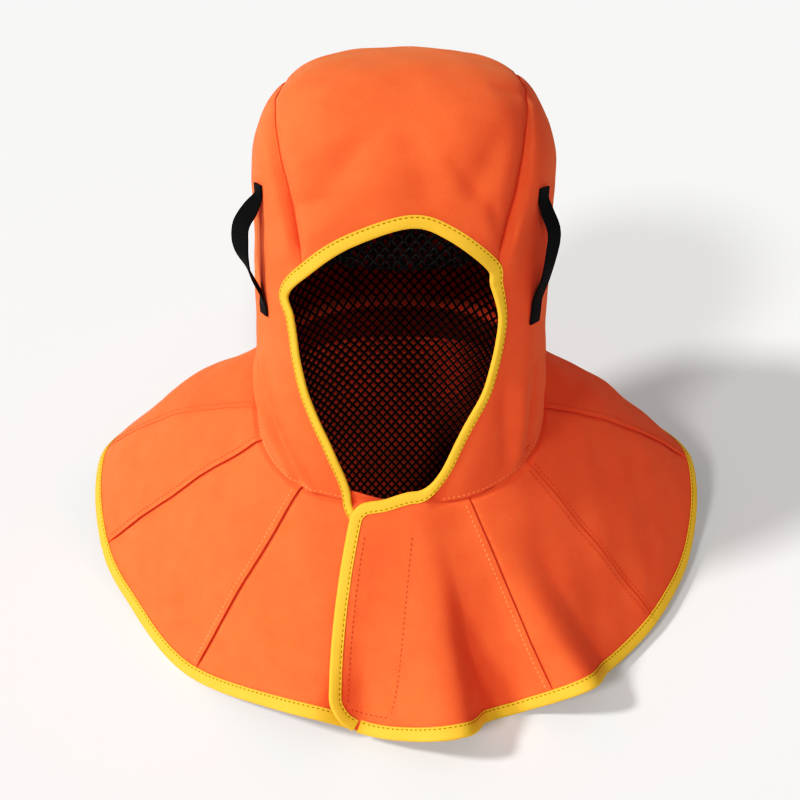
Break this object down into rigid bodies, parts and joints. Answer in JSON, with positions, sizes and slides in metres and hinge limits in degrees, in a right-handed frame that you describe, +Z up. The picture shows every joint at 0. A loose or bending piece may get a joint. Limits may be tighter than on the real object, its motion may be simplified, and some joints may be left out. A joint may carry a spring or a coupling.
{
  "type": "welding hood",
  "caption": "Soft flame-resistant welding hood with a gored cape, overlapping front, bound edges, net lining and webbing loops, standing on its hem.",
  "frame": {"origin": "middle of the bounding box on the floor under the hem", "axes": "+Z up, -Y the way the face opening looks, +X to the right as seen from the front"},
  "size_m": [0.5703, 0.4609, 0.4574],
  "materials": {
    "orange_cotton": "matte",
    "yellow_binding": "matte",
    "black_webbing": "satin",
    "black_net": "satin"
  },
  "bodies": {
    "root": {"crown_panel": "orange_cotton", "side_panel_left": "orange_cotton", "side_panel_right": "orange_cotton", "cape_left_mid": "orange_cotton", "cape_left_side": "orange_cotton", "cape_back_left": "orange_cotton", "cape_back_right": "orange_cotton", "cape_right_side": "orange_cotton", "cape_right_mid": "orange_cotton", "cape_front_left": "orange_cotton", "cape_front_right": "orange_cotton", "closure_tape": "orange_cotton", "neck_lining": "orange_cotton", "face_binding": "yellow_binding", "flap_binding": "yellow_binding", "hem_binding": "yellow_binding", "loop_left": "black_webbing", "loop_right": "black_webbing", "net_lining": "black_net"}
  },
  "joints": []
}
